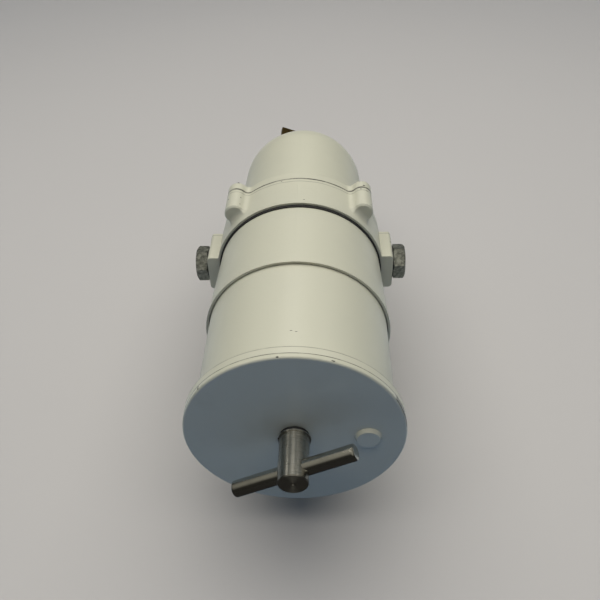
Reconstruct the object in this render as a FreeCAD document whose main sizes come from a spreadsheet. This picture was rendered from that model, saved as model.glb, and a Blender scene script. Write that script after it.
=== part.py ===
import FreeCAD, Part
import math
import os
import Sketcher
from types import SimpleNamespace

# Marine fuel filter and water separator, lying on the back plate of its mounting bracket.
# The filter axis runs along Y: the lid with its T-handle faces -Y and the bowl with its drain
# faces +Y. The inlet port points to -X and the outlet port to +X. Z rises from the bracket's
# back plane, whose bolt pattern is centred on the origin. Lengths are in millimetres.
# Stations along the axis are measured from the plane of the two ports.

SIZES = {
    # Places that set the whole filter
    "axis_height": 105.5,
    "lid_to_collar": 94.4,
    "ports_to_head_face": 14.4,
    "ports_to_parting": 22.0,
    "parting_to_dome_centre": 94.0,
    "fit_gap": 0.05,
    "loose_gap": 0.3,
    "merge_depth": 1.0,
    # Lid
    "lid_overhang": 6.1,
    "lid_rim_thickness": 3.8,
    "lid_edge_round": 1.5,
    "lid_spigot_depth": 6.0,
    "lid_spigot_wall": 4.0,
    "lid_boss_radius": 17.0,
    "lid_boss_depth": 10.2,
    "lid_rib_thickness": 4.0,
    "lid_rib_depth": 4.5,
    "lid_rib_count": 8,
    "lid_pad_place": 47.5,
    "lid_pad_drop": 1.1,
    "lid_pad_base_radius": 8.6,
    "lid_pad_top_radius": 7.5,
    "lid_pad_height": 2.8,
    # T-handle
    "handle_angle": 27.2,
    "hub_radius": 9.8,
    "hub_length": 33.9,
    "hub_chamfer": 0.7,
    "hub_foot_radius": 10.7,
    "hub_foot_thickness": 0.9,
    "hub_line_place": 3.5,
    "hub_line_size": 0.3,
    "dimple_radius": 1.6,
    "dimple_depth": 1.2,
    "bar_radius": 5.4,
    "bar_length": 85.8,
    "bar_height": 24.4,
    "bar_end_round": 1.6,
    "spindle_radius": 6.35,
    "spindle_thread_length": 17.0,
    "spindle_end_chamfer": 1.0,
    "washer_radius": 9.3,
    "washer_thickness": 4.2,
    "washer_counterbore": 1.6,
    "clip_thickness": 1.2,
    "clip_width": 2.4,
    "clip_groove_depth": 1.0,
    "handle_travel": 8.35,
    # Canister tube
    "tube_radius": 66.3,
    "tube_wall": 2.5,
    "tube_flange_thickness": 5.5,
    "tube_socket_depth": 15.0,
    "lid_gasket_width": 3.4,
    "lid_gasket_height": 3.0,
    "lid_gasket_edge": 2.0,
    # Housing
    "collar_step": 2.5,
    "collar_gap": 0.7,
    "collar_land": 2.0,
    "collar_lip": 0.5,
    "collar_relief_depth": 6.0,
    "housing_taper": 3.4,
    "housing_end_wall": 2.4,
    "flat_gasket_thickness": 1.5,
    "gasket_lip_reach": 2.3,
    "gasket_lip_gap": 0.2,
    # Head casting
    "head_rim_gap": 1.4,
    "head_rim_wall": 1.8,
    "head_rim_depth": 1.9,
    "head_draft": 0.4,
    "head_spigot_wall": 4.9,
    "head_spigot_depth": 7.5,
    "head_hub_radius": 15.0,
    "head_hub_above": 24.0,
    "head_hub_below": 24.0,
    "head_rib_thickness": 8.0,
    "head_rib_inset": 3.0,
    "arm_overlap": 2.0,
    "port_reach": 7.6,
    "port_block_half_height": 16.0,
    "port_block_round": 3.0,
    "port_block_end_gap": 2.0,
    "port_bore_radius": 11.1,
    "port_bore_depth": 16.0,
    "passage_radius": 9.5,
    "hub_passage_step": 2.0,
    "outlet_arm_radius": 13.0,
    "inlet_drop_place": 38.0,
    "inlet_drop_radius": 11.5,
    "inlet_drop_bore": 9.0,
    "inlet_drop_reach": 12.0,
    "bolt_circle_step": 3.8,
    "lug_radius": 8.2,
    "lug_height": 25.5,
    "lug_end_taper": 1.2,
    "lug_blend_radius": 5.0,
    "pad_half_width": 30.0,
    "pad_reach": 5.4,
    # Bowl
    "bowl_flange_thickness": 9.0,
    "bowl_flange_inset": 0.3,
    "bowl_neck_inset": 10.4,
    "dome_draft": 2.3,
    "bowl_wall": 3.0,
    "bowl_gasket_edge": 4.5,
    "bowl_gasket_width": 4.0,
    "bowl_gasket_height": 2.5,
    "drain_boss_radius": 13.0,
    "drain_boss_height": 7.8,
    # Fasteners
    "bolt_radius": 3.0,
    "bolt_hole_radius": 3.5,
    "bolt_head_across": 10.0,
    "bolt_head_height": 4.0,
    "bolt_washer_radius": 6.0,
    "bolt_washer_thickness": 1.2,
    "bowl_bolt_grip": 16.0,
    "baffle_bolt_grip": 12.0,
    "tapped_hole_spare": 1.0,
    "bracket_bolt_grip": 12.0,
    # Port plugs
    "plug_across": 25.4,
    "plug_head_height": 9.9,
    "plug_face_round": 25.0,
    "plug_corner_chamfer": 1.8,
    "plug_inner_chamfer": 1.2,
    "inlet_plug_angle": 15.5,
    "outlet_plug_angle": 9.0,
    "plug_shank_length": 13.0,
    "plug_socket_clearance": 0.8,
    "plug_ring_width": 1.9,
    # Return tube and element
    "return_tube_radius": 9.5,
    "return_tube_engagement": 13.0,
    "return_tube_end_gap": 1.2,
    "return_hole_radius": 3.0,
    "return_hole_inset": 26.0,
    "element_radius": 53.3,
    "element_core_radius": 20.0,
    "element_length": 118.0,
    "element_clear_of_hub": 4.0,
    "element_clear_of_lid": 14.0,
    "element_pleat_count": 48,
    "pleat_shift": 8.0,
    "cap_thickness": 4.0,
    "cap_lip_height": 3.0,
    "cap_lip_width": 1.7,
    "cap_bore_radius": 14.0,
    # Turbine, baffle and check ball
    "turbine_gap": 2.0,
    "turbine_plate_radius": 28.0,
    "turbine_plate_thickness": 3.0,
    "turbine_clear_of_bowl": 2.2,
    "turbine_height": 22.0,
    "turbine_vane_thickness": 2.0,
    "turbine_vane_count": 8,
    "turbine_boss_radius": 12.0,
    "baffle_boss_height": 12.0,
    "baffle_clear_of_bowl": 4.2,
    "baffle_fall": 20.0,
    "baffle_wall": 2.5,
    "ball_radius": 6.0,
    "ball_gap": 0.1,
    "seat_thickness": 3.0,
    "seat_bore_radius": 4.5,
    "retainer_bore_radius": 7.0,
    "retainer_bar_width": 2.0,
    # Drain
    "drain_thread_radius": 7.5,
    "drain_thread_length": 10.0,
    "drain_hex_across": 22.0,
    "drain_hex_height": 9.0,
    "drain_barrel_radius": 9.0,
    "drain_barrel_length": 14.0,
    "drain_stem_radius": 4.0,
    "drain_stem_neck_radius": 2.8,
    "drain_stem_shoulder": 1.0,
    "drain_stem_guide": 6.0,
    "drain_ring_thickness": 2.0,
    "drain_ring_depth": 1.0,
    "drain_nozzle_collar_radius": 5.8,
    "drain_nozzle_collar_height": 2.5,
    "drain_nozzle_radius": 4.5,
    "drain_nozzle_bore": 2.4,
    "drain_nozzle_length": 14.0,
    "key_angle": 20.0,
    "key_half_span": 26.5,
    "key_plate_thickness": 4.0,
    "key_wing_height": 19.0,
    "key_wing_rise": 2.2,
    "key_hub_radius": 7.5,
    "key_hub_length": 14.0,
    "key_gap": 1.8,
    "key_corner_round": 2.0,
    # Mounting bracket
    "bracket_length": 124.0,
    "bracket_half_width": 70.0,
    "bracket_crown_half_width": 34.0,
    "bracket_thickness": 4.0,
    "bracket_bend_radius": 4.0,
    "bracket_corner_round": 8.0,
    "mount_hole_radius": 5.5,
    "mount_pitch_x": 108.0,
    "mount_pitch_y": 92.0,
    "pad_bolt_pitch_x": 34.0,
    "pad_bolt_pitch_y": 20.0,
}

ALONG_X = FreeCAD.Rotation(FreeCAD.Vector(0, 1, 0), 90)
ALONG_Y = FreeCAD.Rotation(FreeCAD.Vector(1, 0, 0), -90)
ALONG_Z = FreeCAD.Rotation()
DOWN_Z = FreeCAD.Rotation(FreeCAD.Vector(1, 0, 0), 180)
MATCH = 1e-4

doc = FreeCAD.newDocument("fuel_filter_separator")
sheet = doc.addObject("Spreadsheet::Sheet", "Sizes")


class Size:
    """A length, angle or count, with the sheet formula that gives it."""

    def __init__(self, value, text):
        self.value = value
        self.text = text

    def __add__(self, other):
        other = as_size(other)
        return Size(self.value + other.value, f"({self.text} + {other.text})")

    def __sub__(self, other):
        other = as_size(other)
        return Size(self.value - other.value, f"({self.text} - {other.text})")

    def __mul__(self, other):
        other = as_size(other)
        return Size(self.value * other.value, f"({self.text} * {other.text})")

    def __truediv__(self, other):
        other = as_size(other)
        return Size(self.value / other.value, f"({self.text} / {other.text})")

    def __neg__(self):
        return Size(-self.value, f"(0 - {self.text})")

    def bound_text(self):
        """The formula as an object outside the sheet writes it."""
        return self.text.replace("@", "Sizes.")


def as_size(value):
    """A plain number as a Size; a Size stays as it is."""
    if isinstance(value, Size):
        return value
    return Size(value, str(value))


ROOT_2 = Size(math.sqrt(2), "sqrt(2)")
ROOT_3 = Size(math.sqrt(3), "sqrt(3)")
rows_in_sheet = 0


def enter(alias, text, value):
    """Write one named cell and return its Size."""
    global rows_in_sheet
    rows_in_sheet += 1
    sheet.set(f"A{rows_in_sheet}", alias)
    sheet.set(f"B{rows_in_sheet}", text)
    sheet.setAlias(f"B{rows_in_sheet}", alias)
    return Size(value, f"@{alias}")


def derive(alias, size):
    """Write a cell that follows from others, as a formula."""
    return enter(alias, "=" + size.text.replace("@", ""), size.value)


d = SimpleNamespace(**{alias: enter(alias, str(value), value) for alias, value in SIZES.items()})

# Radii that follow from the tube outwards and inwards
d.lid_radius = derive("lid_radius", d.tube_radius + d.lid_overhang)
d.collar_outer_radius = derive("collar_outer_radius", d.tube_radius + d.collar_step)
d.collar_inner_radius = derive("collar_inner_radius", d.tube_radius + d.collar_gap)
d.housing_end_radius = derive("housing_end_radius", d.collar_outer_radius - d.housing_taper)
d.housing_bore_radius = derive("housing_bore_radius", d.housing_end_radius - d.housing_end_wall)
d.head_rim_bore_radius = derive("head_rim_bore_radius", d.housing_end_radius + d.head_rim_gap)
d.head_face_radius = derive("head_face_radius", d.head_rim_bore_radius + d.head_rim_wall)
d.head_parting_radius = derive("head_parting_radius", d.head_face_radius - d.head_draft)
d.head_spigot_radius = derive("head_spigot_radius", d.housing_bore_radius - d.fit_gap * 2)
d.head_bore_radius = derive("head_bore_radius", d.head_spigot_radius - d.head_spigot_wall)
d.arm_reach = derive("arm_reach", d.head_bore_radius + d.arm_overlap)
d.port_face = derive("port_face", d.head_face_radius + d.port_reach)
d.pad_drop = derive("pad_drop", d.head_face_radius + d.pad_reach)
d.bolt_circle_radius = derive("bolt_circle_radius", d.head_parting_radius + d.bolt_circle_step)
d.bowl_flange_radius = derive("bowl_flange_radius", d.head_parting_radius - d.bowl_flange_inset)
d.bowl_neck_radius = derive("bowl_neck_radius", d.bowl_flange_radius - d.bowl_neck_inset)
d.dome_radius = derive("dome_radius", d.bowl_neck_radius - d.dome_draft)
d.bowl_gasket_outer_radius = derive(
    "bowl_gasket_outer_radius", d.bolt_circle_radius - d.bolt_hole_radius - d.bowl_gasket_edge)
d.bowl_gasket_inner_radius = derive(
    "bowl_gasket_inner_radius", d.bowl_gasket_outer_radius - d.bowl_gasket_width)

# Stations along the axis
d.hub_top = derive("hub_top", -d.head_hub_above)
d.hub_bottom = d.head_hub_below
d.element_bottom = derive("element_bottom", d.hub_top - d.element_clear_of_hub)
d.media_bottom = derive("media_bottom", d.element_bottom - d.cap_thickness)
d.media_top = derive("media_top", d.media_bottom - d.element_length)
d.element_top = derive("element_top", d.media_top - d.cap_thickness)
d.boss_end = derive("boss_end", d.element_top - d.element_clear_of_lid)
d.lid_face = derive("lid_face", d.boss_end - d.lid_boss_depth - d.lid_rim_thickness)
d.lid_seat = derive("lid_seat", d.lid_face + d.lid_rim_thickness)
d.flange_back = derive("flange_back", d.lid_seat + d.tube_flange_thickness)
d.collar_face = derive("collar_face", d.lid_face + d.lid_to_collar)
d.tube_end = derive("tube_end", d.collar_face + d.tube_socket_depth)
d.housing_shoulder = derive("housing_shoulder", d.tube_end + d.flat_gasket_thickness)
d.head_face = derive("head_face", -d.ports_to_head_face)
d.head_shoulder = derive("head_shoulder", d.head_face + d.head_rim_depth)
d.housing_end = derive("housing_end", d.head_shoulder - d.flat_gasket_thickness)
d.parting = d.ports_to_parting
d.flange_end = derive("flange_end", d.parting + d.bowl_flange_thickness)
d.dome_centre = derive("dome_centre", d.parting + d.parting_to_dome_centre)
d.dome_tip = derive("dome_tip", d.dome_centre + d.dome_radius)
d.drain_face = derive("drain_face", d.dome_tip + d.drain_boss_height)
d.lid_bore_radius = derive("lid_bore_radius", d.spindle_radius + d.fit_gap)
d.washer_seat = derive("washer_seat", d.lid_face + d.washer_counterbore)
d.hub_seat = derive("hub_seat", d.washer_seat - d.washer_thickness)
d.clip_face = derive("clip_face", d.boss_end + d.handle_travel + d.loose_gap)
d.clip_back = derive("clip_back", d.clip_face + d.clip_thickness)
d.return_tube_top = derive("return_tube_top", d.clip_back + d.return_tube_end_gap)
d.spindle_end = derive("spindle_end", d.return_tube_top + d.spindle_thread_length)
d.return_tube_end = derive("return_tube_end", d.hub_top + d.return_tube_engagement)
d.tube_bore_radius = derive("tube_bore_radius", d.tube_radius - d.tube_wall)
d.lug_offset = derive("lug_offset", d.bolt_circle_radius / ROOT_2)
d.bowl_bore_radius = derive("bowl_bore_radius", d.bowl_neck_radius - d.bowl_wall)
d.dome_bore_radius = derive("dome_bore_radius", d.dome_radius - d.bowl_wall)
d.turbine_radius = derive("turbine_radius", d.dome_bore_radius - d.turbine_clear_of_bowl)
d.baffle_radius = derive("baffle_radius", d.dome_bore_radius - d.baffle_clear_of_bowl)
d.bolt_thread_bore = derive("bolt_thread_bore", d.bolt_radius + d.fit_gap)
d.drop_end = derive("drop_end", d.parting + d.inlet_drop_reach)
d.retainer_face = derive("retainer_face", d.drop_end - d.seat_thickness)
d.turbine_top = derive("turbine_top", d.drop_end + d.turbine_gap)
d.turbine_end = derive("turbine_end", d.turbine_top + d.turbine_height)
d.baffle_end = derive("baffle_end", d.turbine_end + d.baffle_boss_height)
d.crown_top = derive("crown_top", d.axis_height - d.pad_drop)
d.crown_under = derive("crown_under", d.crown_top - d.bracket_thickness)
d.pad_middle = derive("pad_middle", (d.parting + d.head_face) / 2)
d.barrel_start = derive("barrel_start", d.drain_face + d.drain_hex_height)
d.barrel_end = derive("barrel_end", d.barrel_start + d.drain_barrel_length)
d.key_start = derive("key_start", d.barrel_end + d.key_gap)


def bind(item, path, size):
    """Tie one property of an object to the sheet."""
    item.setExpression(path, as_size(size).bound_text())


def place(item, turn, x=0, y=0, z=0):
    """Turn an object and tie its position to the sheet."""
    corner = [as_size(value) for value in (x, y, z)]
    item.Placement = FreeCAD.Placement(FreeCAD.Vector(*[size.value for size in corner]), turn)
    for axis, size in zip("xyz", corner):
        bind(item, f"Placement.Base.{axis}", size)


def new_body(label, on_axis=True):
    """An empty body, on the filter axis unless it belongs to the bracket's own plane."""
    body = doc.addObject("PartDesign::Body", label)
    body.Label = label
    if on_axis:
        bind(body, "Placement.Base.z", d.axis_height)
    return body


def origin_feature(body, role):
    return next(item for item in body.Origin.OriginFeatures if item.Role == role)


def set_distance(sketch, kind, item, end, size):
    """Tie one distance from the sketch origin to an end of a line or arc."""
    size = as_size(size)
    index = sketch.addConstraint(Sketcher.Constraint(kind, -1, 1, item, end, size.value))
    bind(sketch, f"Constraints[{index}]", size)


def fix_point(sketch, item, end, point, ends_arc):
    """Fix one end of a line or arc; where it ends an arc, one distance is enough."""
    across, up = [as_size(value) for value in point]
    on_axis = up.value == 0
    if on_axis:
        sketch.addConstraint(Sketcher.Constraint("PointOnObject", item, end, -1))
    if not (ends_arc and on_axis):
        set_distance(sketch, "DistanceX", item, end, across)
    if not (ends_arc or on_axis):
        set_distance(sketch, "DistanceY", item, end, up)


def outline_sketch(body, name, plane, outline):
    """A closed sketch through the points of an outline.

    A point is (across, up) or (across, up, centre): with a centre, an arc about that place on
    the sketch's own horizontal axis runs on to the next point, which lies on that axis or
    straight above the centre.
    """
    sketch = body.newObject("Sketcher::SketchObject", name)
    sketch.AttachmentSupport = (origin_feature(body, plane), [""])
    sketch.MapMode = "FlatFace"
    count = len(outline)
    flat = [(as_size(point[0]), as_size(point[1])) for point in outline]
    ends = [FreeCAD.Vector(across.value, up.value, 0) for across, up in flat]
    arc_ends = set()
    reversed_arcs = set()
    for index, point in enumerate(outline):
        start = ends[index]
        end = ends[(index + 1) % count]
        if len(point) == 2:
            sketch.addGeometry(Part.LineSegment(start, end), False)
            continue
        centre = FreeCAD.Vector(as_size(point[2]).value, 0, 0)
        first_angle = math.atan2(start.y, start.x - centre.x)
        last_angle = math.atan2(end.y, end.x - centre.x)
        circle = Part.Circle(centre, FreeCAD.Vector(0, 0, 1), (start - centre).Length)
        if first_angle > last_angle:
            reversed_arcs.add(index)
            first_angle, last_angle = last_angle, first_angle
        sketch.addGeometry(Part.ArcOfCircle(circle, first_angle, last_angle), False)
        arc_ends.add((index + 1) % count)
    for index in range(count):
        following = (index + 1) % count
        own_end = 1 if index in reversed_arcs else 2
        next_start = 2 if following in reversed_arcs else 1
        sketch.addConstraint(Sketcher.Constraint("Coincident", index, own_end, following, next_start))
    for index, point in enumerate(outline):
        if len(point) == 3:
            set_distance(sketch, "DistanceX", index, 3, point[2])
            sketch.addConstraint(Sketcher.Constraint("PointOnObject", index, 3, -1))
        own_start = 2 if index in reversed_arcs else 1
        fix_point(sketch, index, own_start, point[:2], ends_arc=index in arc_ends)
    return sketch


def revolve(body, name, outline, cut=False, plane="YZ_Plane"):
    """Turn a (station, radius) outline about the plane's first axis, which is Y or X."""
    kind = "PartDesign::Groove" if cut else "PartDesign::Revolution"
    sketch = outline_sketch(body, name + "_outline", plane, outline)
    turned = body.newObject(kind, name)
    turned.Profile = sketch
    turned.ReferenceAxis = (sketch, ["H_Axis"])
    turned.Angle = 360
    return turned


def turned_body(label, outline):
    """A piece that is one turning."""
    body = new_body(label)
    revolve(body, label + "_turning", outline)
    return body


def ring_outline(start, end, inner, outer):
    return [(start, inner), (start, outer), (end, outer), (end, inner)]


def rod_outline(start, end, radius):
    return [(start, 0), (start, radius), (end, radius), (end, 0)]


def cylinder(body, name, radius, height, turn, x=0, y=0, z=0, cut=False):
    """A cylinder joined to a body, or cut from it."""
    kind = "PartDesign::SubtractiveCylinder" if cut else "PartDesign::AdditiveCylinder"
    item = body.newObject(kind, name)
    place(item, turn, x, y, z)
    bind(item, "Radius", radius)
    bind(item, "Height", height)
    return item


def cone(body, name, first_radius, second_radius, height, turn, x=0, y=0, z=0):
    item = body.newObject("PartDesign::AdditiveCone", name)
    place(item, turn, x, y, z)
    bind(item, "Radius1", first_radius)
    bind(item, "Radius2", second_radius)
    bind(item, "Height", height)
    return item


def block(body, name, low, spans):
    """A box joined to a body, from its low corner and its three spans."""
    item = body.newObject("PartDesign::AdditiveBox", name)
    place(item, ALONG_Z, *low)
    for side, span in zip(("Length", "Width", "Height"), spans):
        bind(item, side, span)
    return item


def hexagon(body, name, across, height, turn, x=0, y=0, z=0):
    """A hexagon bar joined to a body, from its width across flats."""
    item = body.newObject("PartDesign::AdditivePrism", name)
    item.Polygon = 6
    place(item, turn, x, y, z)
    bind(item, "Circumradius", across / ROOT_3)
    bind(item, "Height", height)
    return item


def hexagon_pad(body, name, across, height, plane, station, centre):
    """A hexagon head padded away from a plane, for heads that are repeated in a pattern."""
    facing = -1 if plane == "XZ_Plane" else 1
    radius = across / ROOT_3
    corners = ((1, 0), (0.5, ROOT_3 / 2), (-0.5, ROOT_3 / 2),
               (-1, 0), (-0.5, -ROOT_3 / 2), (0.5, -ROOT_3 / 2))
    sketch = outline_sketch(body, name + "_outline", plane, [
        (centre[0] + radius * across_share, centre[1] + radius * up_share)
        for across_share, up_share in corners])
    bind(sketch, "AttachmentOffset.Base.z", station * facing)
    pad = body.newObject("PartDesign::Pad", name)
    pad.Profile = sketch
    bind(pad, "Length", height)
    pad.Reversed = True
    return pad


def repeat_round_axis(body, name, features, count):
    """Repeat features at equal steps round the filter axis."""
    pattern = body.newObject("PartDesign::PolarPattern", name)
    pattern.Originals = features
    pattern.Axis = (origin_feature(body, "Y_Axis"), [""])
    pattern.Angle = 360
    bind(pattern, "Occurrences", count)
    body.Tip = pattern
    return pattern


def repeat_in_rows(body, name, features, pitch_x, pitch_y):
    """Repeat features at the four corners of a rectangle, from its low corner."""
    doc.recompute()
    rows = body.newObject("PartDesign::MultiTransform", name)
    rows.Originals = features
    steps = []
    for role, pitch in (("X_Axis", pitch_x), ("Y_Axis", pitch_y)):
        step = body.newObject("PartDesign::LinearPattern", f"{name}_{role[0].lower()}")
        step.Direction = (origin_feature(body, role), [""])
        bind(step, "Length", pitch)
        step.Occurrences = 2
        steps.append(step)
    rows.Transformations = steps
    body.Tip = rows
    return rows


def round_edges(body, name, radius, is_wanted, chamfer=False):
    """Round or chamfer the edges of the body's last feature that a test picks."""
    doc.recompute()
    base = body.Tip
    picked = [f"Edge{index + 1}" for index, edge in enumerate(base.Shape.Edges) if is_wanted(edge)]
    kind = "PartDesign::Chamfer" if chamfer else "PartDesign::Fillet"
    item = body.newObject(kind, name)
    item.Base = (base, picked)
    bind(item, "Size" if chamfer else "Radius", radius)
    return item


def circle_at(station, radius):
    """A test for the round edge of a given radius at a given station."""
    def is_wanted(edge):
        curve = edge.Curve
        if not isinstance(curve, Part.Circle):
            return False
        return (abs(curve.Radius - as_size(radius).value) < MATCH
                and abs(curve.Center.y - as_size(station).value) < MATCH)
    return is_wanted


def make_lid():
    """Cast lid: flat face, locating spigot, inner boss and ribs, and one round pad."""
    body = new_body("lid")
    spigot_radius = d.tube_bore_radius - d.loose_gap
    spigot_end = d.lid_seat + d.lid_spigot_depth
    counterbore = d.washer_radius + d.loose_gap
    revolve(body, "lid_section", [
        (d.washer_seat, d.lid_bore_radius), (d.washer_seat, counterbore),
        (d.lid_face, counterbore), (d.lid_face, d.lid_radius),
        (d.lid_seat, d.lid_radius), (d.lid_seat, spigot_radius),
        (spigot_end, spigot_radius), (spigot_end, spigot_radius - d.lid_spigot_wall),
        (d.lid_seat, spigot_radius - d.lid_spigot_wall), (d.lid_seat, d.lid_boss_radius),
        (d.boss_end, d.lid_boss_radius), (d.boss_end, d.lid_bore_radius)])
    rib = block(body, "lid_rib",
                (d.lid_boss_radius - d.merge_depth, d.lid_seat, -(d.lid_rib_thickness / 2)),
                (spigot_radius - d.lid_spigot_wall - d.lid_boss_radius + d.merge_depth * 2,
                 d.lid_rib_depth, d.lid_rib_thickness))
    repeat_round_axis(body, "lid_ribs", [rib], d.lid_rib_count)
    cone(body, "lid_pad", d.lid_pad_top_radius, d.lid_pad_base_radius, d.lid_pad_height, ALONG_Y,
         d.lid_pad_place, d.lid_face - d.lid_pad_height, -d.lid_pad_drop)
    round_edges(body, "lid_edge", d.lid_edge_round, circle_at(d.lid_face, d.lid_radius))
    return body


def make_lid_gasket():
    outer = d.lid_radius - d.lid_gasket_edge
    return turned_body("lid_gasket", ring_outline(
        d.lid_seat, d.lid_seat + d.lid_gasket_height, outer - d.lid_gasket_width, outer))


def turn_with_handle(body):
    """Set a body at the angle at which the T-handle stands."""
    place(body, FreeCAD.Rotation(FreeCAD.Vector(0, -1, 0), SIZES["handle_angle"]), z=d.axis_height)
    bind(body, "Placement.Rotation.Angle", d.handle_angle)


def make_handle_spindle():
    """Handle hub in one piece with the screwed spindle that clamps the lid."""
    body = new_body("handle_spindle")
    turn_with_handle(body)
    hub_end = d.hub_seat - d.hub_length
    foot_top = d.hub_seat - d.hub_foot_thickness
    line_middle = d.hub_seat - d.hub_line_place
    groove_floor = d.spindle_radius - d.clip_groove_depth
    revolve(body, "spindle_section", [
        (hub_end + d.dimple_depth, 0), (hub_end, d.dimple_radius),
        (hub_end, d.hub_radius - d.hub_chamfer), (hub_end + d.hub_chamfer, d.hub_radius),
        (line_middle - d.hub_line_size, d.hub_radius),
        (line_middle, d.hub_radius - d.hub_line_size),
        (line_middle + d.hub_line_size, d.hub_radius),
        (foot_top, d.hub_radius), (foot_top, d.hub_foot_radius),
        (d.hub_seat, d.hub_foot_radius), (d.hub_seat, d.spindle_radius),
        (d.clip_face, d.spindle_radius), (d.clip_face, groove_floor),
        (d.clip_back, groove_floor), (d.clip_back, d.spindle_radius),
        (d.spindle_end - d.spindle_end_chamfer, d.spindle_radius),
        (d.spindle_end, d.spindle_radius - d.spindle_end_chamfer), (d.spindle_end, 0)])
    hole_reach = d.hub_radius + d.merge_depth
    cylinder(body, "bar_hole", d.bar_radius + d.fit_gap, hole_reach * 2, ALONG_X,
             -hole_reach, d.hub_seat - d.bar_height, 0, cut=True)
    return body


def make_handle_bar():
    """Round cross bar, pushed through the hub."""
    body = new_body("handle_bar")
    turn_with_handle(body)
    cylinder(body, "bar", d.bar_radius, d.bar_length, ALONG_X,
             -(d.bar_length / 2), d.hub_seat - d.bar_height, 0)
    round_edges(body, "bar_ends", d.bar_end_round, lambda edge: isinstance(edge.Curve, Part.Circle))
    return body


def make_handle_washer():
    """Sealing washer between the hub and the lid."""
    return turned_body("handle_washer", ring_outline(
        d.hub_seat, d.washer_seat, d.lid_bore_radius, d.washer_radius))


def make_spindle_clip():
    """Ring in the spindle's groove that keeps the handle on the lid."""
    groove_floor = d.spindle_radius - d.clip_groove_depth + d.fit_gap
    return turned_body("spindle_clip", ring_outline(
        d.clip_face, d.clip_back, groove_floor, groove_floor + d.clip_width))


def make_canister_tube():
    """Flanged tube between the lid and the housing."""
    gasket_outer = d.lid_radius - d.lid_gasket_edge
    gasket_inner = gasket_outer - d.lid_gasket_width
    groove_floor = d.lid_seat + d.lid_gasket_height
    return turned_body("canister_tube", [
        (d.lid_seat, d.tube_bore_radius), (d.lid_seat, gasket_inner),
        (groove_floor, gasket_inner), (groove_floor, gasket_outer),
        (d.lid_seat, gasket_outer), (d.lid_seat, d.lid_radius),
        (d.flange_back, d.lid_radius), (d.flange_back, d.tube_radius),
        (d.tube_end, d.tube_radius), (d.tube_end, d.tube_bore_radius)])


def make_housing():
    """Tapered housing that takes the tube in its collar and stands on the head."""
    socket_radius = d.tube_radius + d.fit_gap
    land_end = d.collar_face + d.collar_land
    relief_end = d.collar_face + d.collar_relief_depth
    taper_start = d.collar_outer_radius - d.collar_lip
    return turned_body("housing", [
        (d.collar_face, d.collar_inner_radius), (d.collar_face, d.collar_outer_radius),
        (land_end, d.collar_outer_radius), (land_end + d.collar_lip, taper_start),
        (d.housing_end, d.housing_end_radius), (d.housing_end, d.housing_bore_radius),
        (d.housing_shoulder, d.housing_bore_radius), (d.housing_shoulder, socket_radius),
        (relief_end, socket_radius), (relief_end, d.collar_inner_radius)])


def make_housing_gaskets():
    """Flat gasket under the tube, and the lipped one round the housing's end in the head's rim."""
    tube_gasket = turned_body("tube_gasket", ring_outline(
        d.tube_end, d.housing_shoulder, d.tube_bore_radius, d.tube_radius - d.loose_gap))
    lip_top = d.housing_end - d.gasket_lip_reach
    lip_inner = d.housing_end_radius + d.gasket_lip_gap
    lip_outer = d.head_rim_bore_radius - d.gasket_lip_gap
    housing_gasket = turned_body("housing_gasket", [
        (lip_top, lip_inner), (lip_top, lip_outer), (d.head_shoulder, lip_outer),
        (d.head_shoulder, d.housing_bore_radius + d.loose_gap),
        (d.housing_end, d.housing_bore_radius + d.loose_gap), (d.housing_end, lip_inner)])
    return [tube_gasket, housing_gasket]


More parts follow.
